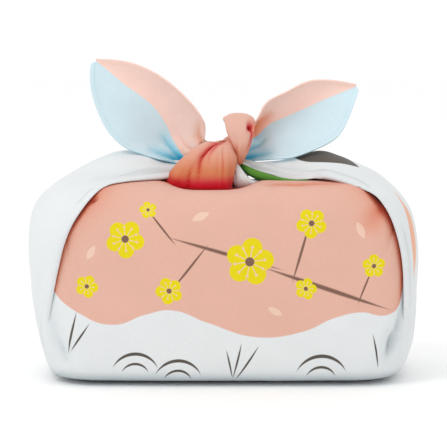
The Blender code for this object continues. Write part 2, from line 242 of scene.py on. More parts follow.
def cotton(name, colour, painted_hollow_shade=0.9, painted_crease_shade=1.2, reach=7.0):
    """Printed cotton with painted shade in its folds. colour(tree, place) gives the print's colour at a place
    in its millimetres.
    """
    material = bpy.data.materials.new(name)
    material.use_nodes = True
    tree = material.node_tree
    tree.nodes.clear()
    place = add(tree, "ShaderNodeUVMap", uv_map="cloth").outputs["UV"]
    ink = colour(tree, place)
    # Painted shade: where a fold hides the sky, the colour is made deeper and stronger, in place of the light
    # that bounces between its sides
    hidden = add(tree, "ShaderNodeAmbientOcclusion", {"Distance": reach * MM}, samples=6)
    closed = add(tree, "ShaderNodeMapRange", {
        "Value": hidden.outputs["AO"], "From Min": OPEN, "From Max": CLOSED, "To Max": painted_hollow_shade})
    painted_shade = add(tree, "ShaderNodeAttribute", attribute_name="painted_shade")
    depth = add(tree, "ShaderNodeMath", {
        0: painted_shade.outputs["Fac"], 1: painted_crease_shade, 2: closed.outputs[0]}, operation="MULTIPLY_ADD")
    gamma = add(tree, "ShaderNodeMath", {
        0: depth.outputs[0], 1: FOLD_SHADE_GAMMA, 2: 1.0}, operation="MULTIPLY_ADD")
    deep = add(tree, "ShaderNodeGamma", {"Color": ink, "Gamma": gamma.outputs[0]})
    # Uneven dye: a broad cloudiness, and fine flecks where threads are thicker
    cloudy = add(tree, "ShaderNodeTexNoise", {"Vector": place, "Scale": 1 / CLOUD, "Detail": 3.0})
    flecks = add(tree, "ShaderNodeTexNoise", {"Vector": place, "Scale": 1 / FLECK, "Detail": 1.0})
    amount = add(tree, "ShaderNodeMath", {
        0: cloudy.outputs["Fac"], 1: flecks.outputs["Fac"]}, operation="ADD")
    light = add(tree, "ShaderNodeMapRange", {
        "Value": amount.outputs[0], "From Min": 0.6, "From Max": 1.4, "To Min": 0.96, "To Max": 1.03})
    shade_lift_and_mottle = add(tree, "ShaderNodeMath", {
        0: depth.outputs[0], 1: FOLD_SHADE_LIFT, 2: light.outputs[0]}, operation="MULTIPLY_ADD")
    dyed_and_shaded = add(tree, "ShaderNodeVectorMath", {
        0: deep.outputs[0], "Scale": shade_lift_and_mottle.outputs[0]}, operation="SCALE")
    # Plain weave: threads over and under each other, both ways
    pitch = math.pi / (THREAD * DRAWN)
    split = add(tree, "ShaderNodeSeparateXYZ", {0: place})
    waves = []
    for axis in ("X", "Y"):
        turns = add(tree, "ShaderNodeMath", {0: split.outputs[axis], 1: pitch}, operation="MULTIPLY")
        waves.append(add(tree, "ShaderNodeMath", {0: turns.outputs[0]}, operation="SINE"))
    weave = add(tree, "ShaderNodeMath", {
        0: waves[0].outputs[0], 1: waves[1].outputs[0]}, operation="MULTIPLY")
    slub = add(tree, "ShaderNodeMath", {
        0: flecks.outputs["Fac"], 1: 1.2, 2: weave.outputs[0]}, operation="MULTIPLY_ADD")
    bump = add(tree, "ShaderNodeBump", {"Height": slub.outputs[0], "Strength": 0.16, "Distance": 0.12 * MM})
    rough = add(tree, "ShaderNodeMapRange", {
        "Value": flecks.outputs["Fac"], "From Min": 0.3, "From Max": 0.7, "To Min": 0.82, "To Max": 0.93})
    shader = add(tree, "ShaderNodeBsdfPrincipled", {
        "Base Color": dyed_and_shaded.outputs[0], "Roughness": rough.outputs[0], "Normal": bump.outputs[0],
        "Sheen Weight": 0.12, "Sheen Roughness": 0.45, "Specular IOR Level": 0.25})
    add(tree, "ShaderNodeOutputMaterial", {"Surface": shader.outputs[0]})
    return material


def motif_group(name, outputs):
    """An empty node group that reads a place, and hands out one mask for each output."""
    group = bpy.data.node_groups.new(name, "ShaderNodeTree")
    group.interface.new_socket("Place", in_out="INPUT", socket_type="NodeSocketVector")
    group.interface.new_socket("Fullness", in_out="INPUT", socket_type="NodeSocketFloat")
    for output in outputs:
        group.interface.new_socket(output, in_out="OUTPUT", socket_type="NodeSocketFloat")
    return group, group.nodes.new("NodeGroupInput"), group.nodes.new("NodeGroupOutput")


# Leaf: a lens one unit either way long, as full as asked. Widths are shares of a motif's size.
LEAF_EDGE = (-0.012, 0.012)         # from clear to full colour
leaf, source, result = motif_group("leaf", ("Shape",))
flat = add(leaf, "ShaderNodeSeparateXYZ", {0: source.outputs["Place"]})
squared = add(leaf, "ShaderNodeMath", {0: flat.outputs["X"], 1: flat.outputs["X"]}, operation="MULTIPLY")
taper = add(leaf, "ShaderNodeMath", {0: 1.0, 1: squared.outputs[0]}, operation="SUBTRACT")
half = add(leaf, "ShaderNodeMath", {
    0: taper.outputs[0], 1: source.outputs["Fullness"]}, operation="MULTIPLY")
off = add(leaf, "ShaderNodeMath", {0: flat.outputs["Y"]}, operation="ABSOLUTE")
inside = add(leaf, "ShaderNodeMath", {0: half.outputs[0], 1: off.outputs[0]}, operation="SUBTRACT")
edge = add(leaf, "ShaderNodeMapRange", {
    "Value": inside.outputs[0], "From Min": LEAF_EDGE[0], "From Max": LEAF_EDGE[1]})
leaf.links.new(edge.outputs[0], result.inputs["Shape"])

# Stroke: part of a circle of radius one about the place, thickest at its top
STROKE_REACH, STROKE_EDGE = 1.15, (-0.006, 0.012)       # radians to either end, and from clear to full
stroke, source, result = motif_group("brush stroke", ("Shape",))
flat = add(stroke, "ShaderNodeSeparateXYZ", {0: source.outputs["Place"]})
radius = add(stroke, "ShaderNodeVectorMath", {0: source.outputs["Place"]}, operation="LENGTH")
angle = add(stroke, "ShaderNodeMath", {0: flat.outputs["X"], 1: flat.outputs["Y"]}, operation="ARCTAN2")
part = add(stroke, "ShaderNodeMath", {0: angle.outputs[0], 1: STROKE_REACH}, operation="DIVIDE")
squared = add(stroke, "ShaderNodeMath", {0: part.outputs[0], 1: part.outputs[0]}, operation="MULTIPLY")
taper = add(stroke, "ShaderNodeMath", {0: 1.0, 1: squared.outputs[0]}, operation="SUBTRACT")
half = add(stroke, "ShaderNodeMath", {
    0: taper.outputs[0], 1: source.outputs["Fullness"]}, operation="MULTIPLY")
away = add(stroke, "ShaderNodeMath", {0: radius.outputs["Value"], 1: 1.0}, operation="SUBTRACT")
off = add(stroke, "ShaderNodeMath", {0: away.outputs[0]}, operation="ABSOLUTE")
inside = add(stroke, "ShaderNodeMath", {0: half.outputs[0], 1: off.outputs[0]}, operation="SUBTRACT")
edge = add(stroke, "ShaderNodeMapRange", {
    "Value": inside.outputs[0], "From Min": STROKE_EDGE[0], "From Max": STROKE_EDGE[1]})
stroke.links.new(edge.outputs[0], result.inputs["Shape"])

# Plum blossom: five round petals, a heart, and stamens that end in dots. Each pair of numbers
# is where a shape is clear of the next one, and where it is full.
CORE, HEART, STAMEN, STAMEN_LENGTH = (0.36, 0.33), (0.2, 0.17), (0.028, 0.008), (0.62, 0.6)
PETAL_EDGE = 0.015
blossom, source, result = motif_group("plum blossom", ("Petals", "Stamens", "Heart"))
flat = add(blossom, "ShaderNodeSeparateXYZ", {0: source.outputs["Place"]})
radius = add(blossom, "ShaderNodeVectorMath", {0: source.outputs["Place"]}, operation="LENGTH")
angle = add(blossom, "ShaderNodeMath", {0: flat.outputs["Y"], 1: flat.outputs["X"]}, operation="ARCTAN2")
shapes = {}
# petals or dots: how many, how far out, how large
for label, many, out, size in (("petal", 5, 0.56, 0.41), ("dot", 10, 0.6, 0.055)):
    sector = 2 * math.pi / many
    folded = add(blossom, "ShaderNodeMath", {
        0: angle.outputs[0], 1: sector / 2, 2: -sector / 2}, operation="WRAP")
    aside = add(blossom, "ShaderNodeMath", {0: folded.outputs[0]}, operation="SINE")
    ahead = add(blossom, "ShaderNodeMath", {0: folded.outputs[0]}, operation="COSINE")
    x = add(blossom, "ShaderNodeMath", {
        0: ahead.outputs[0], 1: radius.outputs["Value"], 2: -out}, operation="MULTIPLY_ADD")
    y = add(blossom, "ShaderNodeMath", {
        0: aside.outputs[0], 1: radius.outputs["Value"]}, operation="MULTIPLY")
    both = add(blossom, "ShaderNodeCombineXYZ", {"X": x.outputs[0], "Y": y.outputs[0]})
    far = add(blossom, "ShaderNodeVectorMath", {0: both.outputs[0]}, operation="LENGTH")
    shapes[label] = add(blossom, "ShaderNodeMapRange", {
        "Value": far.outputs["Value"], "From Min": size + PETAL_EDGE, "From Max": size - PETAL_EDGE})
    shapes[label + " line"] = add(blossom, "ShaderNodeMath", {0: y.outputs[0]}, operation="ABSOLUTE")
limits = {}
for label, value, (clear, full) in (
    ("core", radius.outputs["Value"], CORE),
    ("heart", radius.outputs["Value"], HEART),
    ("thread", shapes["dot line"].outputs[0], STAMEN),
    ("within", radius.outputs["Value"], STAMEN_LENGTH),
):
    limits[label] = add(blossom, "ShaderNodeMapRange", {
        "Value": value, "From Min": clear, "From Max": full}).outputs[0]
heart = limits["heart"]
petals = add(blossom, "ShaderNodeMath", {
    0: shapes["petal"].outputs[0], 1: limits["core"]}, operation="MAXIMUM")
line = add(blossom, "ShaderNodeMath", {0: limits["thread"], 1: limits["within"]}, operation="MULTIPLY")
stamens = add(blossom, "ShaderNodeMath", {
    0: line.outputs[0], 1: shapes["dot"].outputs[0]}, operation="MAXIMUM")
blossom.links.new(petals.outputs[0], result.inputs["Petals"])
blossom.links.new(heart, result.inputs["Heart"])
blossom.links.new(stamens.outputs[0], result.inputs["Stamens"])


def stamp(tree, place, ink, motifs):
    """Prints a table of motifs over an ink: group, place along, place up, size, turn, fullness, colours."""
    for group, along, up, size, turn, fullness, colours in motifs:
        moved = add(tree, "ShaderNodeMapping", {
            "Vector": place, "Location": (along, up, 0.0), "Rotation": (0.0, 0.0, math.radians(turn)),
            "Scale": (size, size, 1.0)}, vector_type="TEXTURE")
        shape = add(tree, "ShaderNodeGroup", node_tree=group)
        tree.links.new(moved.outputs[0], shape.inputs["Place"])
        shape.inputs["Fullness"].default_value = fullness
        for output, colour in zip(shape.outputs, colours):
            ink = add(tree, "ShaderNodeMix", {
                0: output, 6: ink, 7: linear(colour)}, data_type="RGBA").outputs[2]
    return ink


FLOWER = (YELLOW, CREAM, BROWN)
# Where the printed mist ends over the white ground: along, height
MIST = ((-86, 96), (-80, 70), (-77, 46), (-64, 33), (-50, 28), (-35, 32.5), (-24, 34.5), (-8, 29), (14, 22.5),
        (34, 25), (48, 31), (60, 33.5), (70, 32), (78, 36), (82, 60), (88, 96))
MIST_SPAN, MIST_HEIGHT = 200.0, 100.0
PRINT_EDGE = 0.15       # half the width of the edge between two printed colours
# motif, its colours, then for each one: place along, place up, size, turn in degrees, fullness
FRONT_MOTIFS = tuple((group, *row, colours) for group, colours, rows in (
    (leaf, (BROWN,), (
        (45, 44, 28, 161, 0.035), (1, 59.5, 25, 164, 0.032), (34, 60, 14, 74, 0.04),
        (-15, 53, 13, 52, 0.04), (-27, 71, 10, 128, 0.045), (62, 45, 9, 66, 0.045))),
    (blossom, FLOWER, (
        (38.5, 73, 7, 50, 0), (11.5, 56, 11, 8, 0), (-24, 43, 6.2, 40, 0), (-43, 66, 8.8, -14, 0),
        (66, 54, 5.4, 20, 0), (36, 44, 5, 0, 0), (-33, 79, 4, 30, 0), (-60, 45, 5.2, 64, 0))),
    (leaf, (CREAM,), (
        (-10, 76, 4.2, 24, 0.42), (60, 70, 4, 115, 0.42), (-58, 60, 3.6, 60, 0.42),
        (22, 34, 3.6, 150, 0.42))),
    (stroke, (CHARCOAL,), (
        (-40, 4, 11, 0, 0.07), (-40, 4, 6.5, 0, 0.09), (-21, 1, 11, 0, 0.07), (-21, 1, 6.5, 0, 0.09),
        (42, 2, 12, 0, 0.07), (42, 2, 7, 0, 0.09))),
    (leaf, (CHARCOAL,), (
        (-68, 24, 10, 74, 0.05), (-64.5, 22, 8, 54, 0.055), (5, 12, 8, 78, 0.055),
        (9.5, 11, 9, 58, 0.05), (1.5, 10.5, 6.5, 104, 0.06), (66, 16, 8, 100, 0.05))),
) for row in rows)
TO_BACK = 245.0         # the middle of the back lies this far round the wrap, either way
BACK_MOTIFS = tuple(
    (group, side * TO_BACK + along, *row, colours) for side in (-1, 1) for group, colours, rows in (
    (stroke, (CHARCOAL,), (
        (-30, 3, 12, 0, 0.07), (-30, 3, 7, 0, 0.09), (-9, 0, 11, 0, 0.07))),
    (leaf, (BROWN,), (
        (34, 40, 26, 20, 0.035), (22, 44, 12, 100, 0.04))),
    (blossom, FLOWER, (
        (20, 56, 8, 20, 0), (46, 46, 6, 0, 0))),
    (leaf, (SALMON,), (
        (-36, 60, 4.2, 30, 0.42),)),
) for along, *row in rows)


def panel_print(tree, place):
    """Salmon mist over white, with plum blossom, twigs, grass and hills."""
    split = add(tree, "ShaderNodeSeparateXYZ", {0: place})
    along = add(tree, "ShaderNodeMapRange", {
        "Value": split.outputs["X"], "From Min": -MIST_SPAN / 2, "From Max": MIST_SPAN / 2})
    edge = add(tree, "ShaderNodeFloatCurve", {"Value": along.outputs[0]})
    curve = edge.mapping.curves[0]
    spots = [(x / MIST_SPAN + 0.5, z / MIST_HEIGHT) for x, z in MIST]
    curve.points[0].location, curve.points[1].location = spots[0], spots[-1]
    for spot in spots[1:-1]:
        curve.points.new(*spot)
    edge.mapping.update()
    above = add(tree, "ShaderNodeMath", {
        0: edge.outputs[0], 1: -MIST_HEIGHT, 2: split.outputs["Y"]}, operation="MULTIPLY_ADD")
    mist = add(tree, "ShaderNodeMapRange", {
        "Value": above.outputs[0], "From Min": -PRINT_EDGE, "From Max": PRINT_EDGE})
    ink = add(tree, "ShaderNodeMix", {
        0: mist.outputs[0], 6: linear(WHITE), 7: linear(SALMON)}, data_type="RGBA")
    return stamp(tree, place, ink.outputs[2], FRONT_MOTIFS + BACK_MOTIFS)


printed = cotton("cotton broadcloth, printed", panel_print, painted_hollow_shade=1.3, reach=9.0)
wrap_points = np.array([wrap_ring(*row) for row in between(WRAP, WRAP_STEPS)])
# The middle of the front, counted round from the back corner at the right
middle = CORNER_FACES * 3 + LONG_FACES + END_FACES + LONG_FACES // 2
wrap_u = lengths(wrap_points, middle, ring=True)
wrap_v = wrap_points[..., 2]
# The mist belongs to the front, so the back of the top is moved on, past it, to the white ground
PAST_MIST, BEHIND, TOP_FROM, TOP_RANGE = 100.0, 6.0, 80.0, 4.0
behind = np.clip(wrap_points[..., 1] / BEHIND, 0.0, 1.0) * np.clip((wrap_v - TOP_FROM) / TOP_RANGE, 0.0, 1.0)
wrap_u = wrap_u + np.sign(wrap_u) * PAST_MIST * np.concatenate((behind, behind[:, :1]), axis=1)
wrap_points, wrap_deep = press(wrap_points, WRAP_FOLDS, WAVER, ring=True)
wrap = lay("wrap", wrap_points, wrap_deep, wrap_u, wrap_v, printed, ring=True, bottom=True)
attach(wrap, "root")
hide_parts("furoshiki_cloth")

# The front flap: the cloth's front corner, drawn up over the box and laid back across its
# top. It carries the print, bulges a little between the bands and sags under the knot.
FLAP_FACES, FLAP_STEPS = 150, 7
FLAP_FLAT, FLAP_CORNER = 64.0, 20.0
# Its top sinks to the sides past this x, by this share, above this height and fully so much higher
DROOP_FROM, DROOP, LEVEL, LEVEL_RANGE = 53.0, 0.011, 80.0, 6.0
# Each edge turns back under its band, over this width and this deep, where the flap lies this far forward
TURN_IN, TURN_DEPTH, FORWARD = 7.0, 3.2, 30.0
# The warm shade beside a band: its strength, its width, the heights it sets in between, and how far forward
SHADE, SHADE_WIDTH, SHADE_FROM, SHADE_FULL, SHADE_FORWARD = 0.95, 5.0, 64.0, 80.0, 20.0
# depth, height, left edge, right edge
FLAP = (
    (-42.2, 30, -68, 72),
    (-42.8, 40, -71, 75),
    (-43.3, 49, -73, 77.5),
    (-43.8, 57, -74, 78),
    (-43.9, 66, -73, 77.5),
    (-43.6, 72, -69.5, 76),
    (-42.6, 77.2, -65.5, 73.5),
    (-40.6, 82.4, -61.5, 71),
    (-36.6, 86.8, -58, 67),
    (-28.5, 89.1, -54, 60),
    (-17, 89.8, -47, 50),
    (-3, 89.4, -36, 38),
    (12, 88, -23, 25),
    (25, 87, -10, 12),
    (33, 86.5, -2, 4),
)
FLAP_FOLDS = (
    (19, -4.3, 5, (-5.5, -13, 89.5), (-5.5, -42, 83)),
    (3, -0.9, 1.6, (-27, -24, 88), (-33, -36, 86), (-36, -42, 78)),
    (2.6, -0.5, 1.4, (-58, -37, 84), (-65, -41.5, 74), (-68, -43, 60)),
    (7, 0.7, 2, (56, -32, 87), (40, -28, 88.5), (24, -27, 88)),
    (3.4, -0.9, 1.6, (19, -26, 88), (24, -38, 85), (28, -43, 76)),
    (2.8, -0.5, 1.4, (68, -37, 81), (73, -41, 72), (75, -42, 58)),
    (6, 0.5, 2, (70, -40, 76), (64, -42, 60)),
    # These two creases just under the right band also carry painted shade along the flap's top
    (3.2, -1.1, 1.3, (32, -27.5, 89.2), (44, -28.5, 88.6), (58, -31, 86.4)),
    (3.2, -1.1, 1.3, (32, -27.5, 89.2), (24, -27, 88.8), (16, -26.5, 87.8)),
    (4.5, -1.4, 1.4, (70, -39.5, 80), (66.5, -40, 76), (60, -41, 67)),
    (1.3, -1.8, 1.3, (-57.6, -39.6, 83), (-54.5, -39.4, 84.6)),
    (10, -0.35, 2, (-60, -43, 62), (-20, -43, 56)),
    (11, -0.35, 2, (60, -43, 58), (10, -43, 66)),
)


def flap_line(depth, height, left, right):
    """One line across the front flap, bent back where it passes the wrap's corners."""
    line = []
    for step in range(FLAP_FACES + 1):
        x = left + (right - left) * step / FLAP_FACES
        past = max(0.0, abs(x) - FLAP_FLAT)
        bend = LONG_BOW * (x / FLAP_FLAT) ** 2 + FLAP_CORNER - math.sqrt(FLAP_CORNER**2 - past**2)
        droop = DROOP * max(0.0, abs(x) - DROOP_FROM) ** 2 * min(1.0, max(0.0, height - LEVEL) / LEVEL_RANGE)
        turned = TURN_DEPTH * max(0.0, 1.0 - min(x - left, right - x) / TURN_IN) ** 2
        turned *= min(1.0, max(0.0, -depth / FORWARD))
        line.append((x, depth + bend + turned, height - droop))
    return line


flap_points = np.array([flap_line(*row) for row in between(FLAP, FLAP_STEPS)])
climb = np.linalg.norm(np.diff(flap_points[:, FLAP_FACES // 2], axis=0), axis=1)
flap_v = FLAP[0][1] + np.concatenate(((0.0,), np.cumsum(climb)))
flap_v = np.repeat(flap_v[:, None], FLAP_FACES + 1, axis=1)
flap_u = lengths(flap_points, FLAP_FACES // 2) + flap_points[:, FLAP_FACES // 2, :1]
from_edge = np.minimum(flap_u - flap_u[:, :1], flap_u[:, -1:] - flap_u)
flap_points, flap_deep = press(flap_points, FLAP_FOLDS, WAVER)
set_in = np.clip((flap_points[..., 2] - SHADE_FROM) / (SHADE_FULL - SHADE_FROM), 0.0, 1.0)
set_in *= np.clip(-flap_points[..., 1] / SHADE_FORWARD, 0.0, 1.0)
# painted warm shade along the flap's edges beside the bands, high on its front
flap_deep = np.maximum(flap_deep, SHADE * set_in * np.exp(-from_edge / SHADE_WIDTH))
flap = lay("front_flap", flap_points, flap_deep, flap_u, flap_v, printed)
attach(flap, "root")
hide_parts("furoshiki_cloth")

# The bands: the cloth's left and right corners, folded in along their edges and drawn up
# over the ends of the box to the knot. Each edge is a soft fold of two layers.
BAND_FACES, BAND_STEPS = 34, 7
BAND_SEEN = (1.0, 0.35, 1.0)     # its folds were read from the front, so depth counts less
TUCK = ((0.7, -0.4), (1.1, 0.5), (0.9, 1.7), (0.8, 4.1))   # past the edge: how far under, how far back up
# How much lower the edges lie at the back, where no flap bulges under them, and the heights it sets in from
BACK_SINK, LEFT_SINK_FROM, RIGHT_SINK_FROM, SINK_RANGE = 5.6, 76.0, 81.0, 8.0
KNOT_SHARE, KNOT_NEAR, KNOT_FAR = 0.6, 24.0, 36.0   # less near the knot, where the flap's tip lies under it
# crown x, crown z, straight half width, edge x, edge z, front edge y, back edge y, roundness of its corner
LEFT_BAND = (
    (-80, 8, 24, -74, 8, -33, 33, 0.6),
    (-85, 22, 24, -78, 20, -35.2, 35.2, 0.6),
    (-87.2, 34, 24, -77, 31, -37.8, 37.4, 0.6),
    (-88.4, 46, 24, -74.6, 44, -42, 41, 0.58),
    (-89.2, 58, 23, -72.2, 55, -43.9, 43.6, 0.6),
    (-88.7, 69, 22, -69.8, 64, -44.3, 43.4, 0.66),
    (-87, 76.5, 20, -66.2, 72.5, -43.9, 42.8, 0.85),
    (-84, 81.8, 17, -60.8, 80.6, -41.8, 41, 1.1),
    (-79, 86.6, 14, -55.6, 86.2, -37.4, 38, 1.2),
    (-70.6, 91.8, 10, -50.6, 88.9, -32, 33, 1.2),
    (-59.4, 97.8, 7, -44, 89.9, -27, 28, 1.2),
    (-47.6, 102, 4.5, -37.4, 90.3, -22.5, 23, 1.2),
    (-36, 102, 3, -30, 90.6, -17.8, 17.5, 1.2),
    (-25.5, 98.2, 2, -23, 90.8, -13, 12.5, 1.2),
    (-13, 95.6, 1.5, -13, 90.4, -8.5, 9, 1.2),
    (-4, 94.6, 1, -5, 90.8, -5.5, 6, 1.2),
)
RIGHT_BAND = (
    (80, 8, 24, 76, 8, -33, 33, 0.7),
    (85.6, 20, 24, 80, 18, -34.4, 34.4, 0.7),
    (87.6, 31, 24, 79.8, 29, -36.4, 36.2, 0.7),
    (88.3, 43, 24, 79.6, 42, -38.8, 38.2, 0.7),
    (89, 55, 23, 78.8, 55, -40, 39.8, 0.7),
    (88, 67, 22, 76.9, 65, -40.6, 40, 0.75),
    (85.8, 75.4, 20, 74.4, 73.2, -41.2, 39.6, 0.9),
    (83.2, 80.4, 17, 71.2, 79.6, -40.8, 38.6, 1.1),
    (78.4, 86.3, 14, 67, 84.6, -38.9, 36.8, 1.2),
    (69.6, 92.7, 10, 60.4, 87.6, -34, 33, 1.2),
    (61.2, 96.6, 7, 52.8, 90, -29, 28, 1.2),
    (53, 99.8, 4.5, 44.8, 91.4, -24, 23, 1.2),
    (43.6, 102, 3, 36.4, 90.4, -18.5, 18.5, 1.2),
    (31, 99.2, 2, 28.6, 90, -13.5, 13.5, 1.2),
    (19.5, 97.4, 1.5, 20, 92.4, -9.5, 9.5, 1.2),
    (8.5, 97, 1, 9, 94.6, -6.5, 7, 1.2),
    (1, 95.6, 0.8, 1.5, 93.8, -5, 5.5, 1.2),
)
LEFT_FOLDS = (
    (1.7, -1.8, 1.2, (-19, -13, 95.5), (-37, -17, 93.1), (-48, -21, 92.4), (-60, -27, 91.1),
     (-70, -32, 88.5)),
    (2.4, 1, 2, (-22, -15, 92.6), (-44, -22, 91), (-64, -30, 88.5)),
    (1.2, -1.1, 1.2, (-19, -9, 97.6), (-33, -12, 97.6), (-46, -13, 98.5)),
    (1.8, -1, 1.3, (-20, 0, 100.5), (-40, -2, 103)),
    (1.8, -1.4, 1.3, (-20, 6, 98), (-56, 14, 97)),
    (2.2, -1.8, 1.4, (-20, 11, 94), (-44, 18, 93), (-70, 26, 88)),
    (5, 0.6, 2, (-70, -26, 89), (-86, -20, 72)),
    (8, -0.6, 2, (-80, 8, 85), (-88, 10, 56)),
    (5, -0.6, 2, (-78, -34, 78), (-88, -28, 48)),
)
RIGHT_FOLDS = (
    (1.1, -1.1, 1.2, (10, -5, 97.4), (24, -8, 95.4), (38, -14, 94), (52, -22, 92.4)),
    (1.8, -1, 1.3, (44, -22, 92.6), (60, -30, 89.2), (71, -33, 83.5)),
    (1.3, -0.9, 1.3, (12, -2, 97.8), (32, -6, 98.4), (46, -8, 99)),
    (1.8, -1.2, 1.3, (14, 4, 96.5), (46, 9, 99)),
    (2.4, -1.7, 1.4, (18, 9, 93.5), (44, 15, 94.5), (72, 24, 88)),
    (5, 0.6, 2, (66, -27, 88), (86, -22, 70)),
    (8, -0.6, 2, (80, 8, 84), (89, 6, 54)),
    (2.4, -0.8, 1.4, (82, -33, 76), (85, -32, 60), (86.5, -30, 44)),
)


def band_line(crown_x, crown_z, straight, edge_x, edge_z, front, back, roundness):
    """One line over a band, from its front edge over the crown to its back edge, with both edges tucked."""
    halves = []
    for reach, side in ((abs(front), -1), (back, 1)):
        half = []
        sink_from = LEFT_SINK_FROM if crown_x < 0 else RIGHT_SINK_FROM
        set_in = min(1.0, max(0.0, (edge_z - sink_from) / SINK_RANGE))
        away = min(1.0, max(0.0, (abs(edge_x) - KNOT_NEAR) / (KNOT_FAR - KNOT_NEAR)))
        sink = BACK_SINK * set_in * (KNOT_SHARE + (1.0 - KNOT_SHARE) * away)
        low_z = edge_z - (sink if side > 0 else 0.0)
        for step in range(BAND_FACES + 1):
            turn = 0.5 * math.pi * step / BAND_FACES
            drop = 1 - max(math.cos(turn), 0.0) ** roundness
            depth = straight * step / BAND_FACES + (reach - straight) * math.sin(turn)
            half.append(Vector((
                crown_x + (edge_x - crown_x) * drop, side * depth, crown_z + (low_z - crown_z) * drop)))
        edge, inward = half[-1], Vector((0, -side, 0))
        upward = (half[-4] - half[-1]).normalized()
        for under, back_up in TUCK:
            half.append(edge + inward * under + upward * back_up)
        halves.append(half)
    return halves[0][::-1] + halves[1][1:]


LEFT_MOTIFS = (
    (leaf, 20.0, 60.0, 9.0, 60.0, 0.3, (SALMON,)),
    (leaf, 27.0, 66.0, 7.0, 10.0, 0.3, (GREEN,)),
)
RIGHT_MOTIFS = (
    (leaf, -5.5, 118.0, 18.0, 67.0, 0.52, (CHARCOAL,)),
    (leaf, -27.5, 61.0, 21.0, 79.0, 0.17, (PEACH,)),
)


def plain_ground(motifs):
    """A print of a few motifs on the white ground."""
    def colour(tree, place):
        ground = add(tree, "ShaderNodeRGB")
        ground.outputs[0].default_value = linear(WHITE)
        return stamp(tree, place, ground.outputs[0], motifs)
    return colour


for name, rows, folds, motifs, turned, flat_size, area in (
    ("left_band", LEFT_BAND, LEFT_FOLDS, LEFT_MOTIFS, True, (0.113, 0.163), 0.0128),
    ("right_band", RIGHT_BAND, RIGHT_FOLDS, RIGHT_MOTIFS, False, (0.097, 0.165), 0.0117),
):
    points = np.array([band_line(*row)[::-1 if turned else 1] for row in between(rows, BAND_STEPS)])
    crown = points.shape[1] // 2
    band_u = lengths(points, crown) * (-1 if turned else 1)
    climb = np.linalg.norm(np.diff(points[:, crown], axis=0), axis=1)
    band_v = np.repeat(np.concatenate(((0.0,), np.cumsum(climb)))[:, None], points.shape[1], axis=1)
    points, deep = press(points, folds, WAVER, seen=BAND_SEEN)
    side = name.split("_")[0]
    cloth = cotton("cotton broadcloth, white ground, " + side, plain_ground(motifs), painted_hollow_shade=0.6, painted_crease_shade=0.7)
    band = lay(name, points, deep, band_u, band_v, cloth)
    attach(band, "root")
    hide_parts("furoshiki_cloth")

# The knot: both corners crossed, tied once more and pulled tight. The gathered cloth makes
# pleats that run with it, deep where it is squeezed.
ROPE_FACES, ROPE_STEPS, ROPE_WAVER = 56, 9, 0.15
FROM_FRONT = (1.0, 0.0, 1.0)     # folds placed as they are seen from the front, at any depth
PLEAT_SHARPNESS = 1.3
SHALLOW, WAX, WAX_RATE = 0.6, 0.4, 5.0      # a pleat waxes and wanes in depth along the rope
# middle x, y, z, half width, half thickness, tilt of the width in degrees
LOOP = (
    (-1, -1, 94.5, 5.6, 5, -85),
    (4.4, -5, 95.6, 3.4, 3.6, -45),
    (7.2, -10.2, 100.4, 3, 3.2, -12),
    (8.2, -12.3, 105.6, 4.7, 3.6, 0),
    (7.9, -12.4, 111.2, 6.6, 3.6, 0),
    (7.6, -9.6, 115.4, 7.2, 3.2, 0),
    (6.6, -4.6, 116.6, 6.9, 2.9, 0),
    (7, 0.4, 113, 5.6, 3.2, 5),
    (5, 3, 107.6, 3.6, 3.4, 25),
    (-1, 4.2, 102.6, 3.4, 3.4, 60),
    (-8, 3.6, 101.6, 2.6, 2.4, 80),
)
LOOP_FOLDS = (
    (1.8, -3, 1.45, (12.4, 0, 113.8), (11.2, 0, 114.4), (10.2, 0, 114.6)),
    (0.9, -1.6, 1.3, (12.9, 0, 113.8), (13.6, 0, 110.5), (12.4, 0, 106), (9.8, 0, 101.5)),
    (0.8, -0.5, 1.5, (5, 0, 101), (6, 0, 107), (5, 0, 113)),
)
CROSSING = (
    (-5.2, -9, 101.6, 6, 4.4, 6),
    (-3, -8, 103.6, 4.6, 4, 10),
    (0.5, -6.4, 104.6, 4, 3.6, -20),
    (5.5, -4, 105, 4, 3.6, -60),
    (10, -1.5, 105.4, 4.6, 3.6, -85),
)
LEFT_GATHER = (
    (-31, 2, 95, 4.4, 5, -90),
    (-21, 2, 93.6, 4.2, 5, -90),
    (-11, 0, 93.4, 4.8, 5, -90),
    (-1, -1, 94.5, 5.4, 5, -85),
)
RIGHT_GATHER = (
    (32, 0, 95, 3.4, 4, 90),
    (22, -1, 94.2, 3.2, 4.2, 90),
    (12, -3, 94, 3.2, 4.2, 90),
    (3.5, -6, 93.4, 4.8, 4.8, 80),
    (-3, -8, 91.6, 5, 4.4, 60),
)
RIGHT_PLEAT = (
    (5, -7, 96.6, 1, 1, 60),
    (9, -10, 95, 1.5, 1.2, 60),
    (13.5, -12, 92.6, 2, 1.4, 62),
    (20, -14, 90.2, 2.2, 1.5, 70),
    (27, -16.5, 89, 1.8, 1.4, 80),
    (33, -18.5, 89.2, 1.1, 1, 80),
    (38, -20, 89.8, 0.5, 0.5, 80),
)
RIGHT_BUNCH = (
    (3, -8, 98, 1.6, 1.6, -10),
    (6.2, -11, 94.6, 2.4, 2, -20),
    (8.4, -12.6, 90.8, 4.2, 2.2, -12),
    (11, -12, 88.4, 6.6, 2.2, 0),
    (11.4, -9, 86.2, 6.4, 2, 0),
)
KNOT_BACK = (
    (-10.5, 2, 103, 3, 3, 50),
    (-8, 6, 101, 4.8, 3.4, 45),
    (-4, 9, 97.6, 6.6, 3.8, 38),
    (-0.4, 9.8, 93.6, 7.2, 3.8, 30),
    (1.6, 8.4, 90.2, 6.6, 3.4, 20),
    (2, 5, 87.8, 5, 2.6, 10),
)
# where a pleat lies round the rope in degrees, its half width, its depth as a share of the radius
PLEATS = ((20, 9, 0.16), (64, 7, 0.22), (118, 10, 0.14), (171, 8, 0.2), (214, 9, 0.2),
          (247, 6, 0.16), (278, 8, 0.24), (322, 10, 0.16))


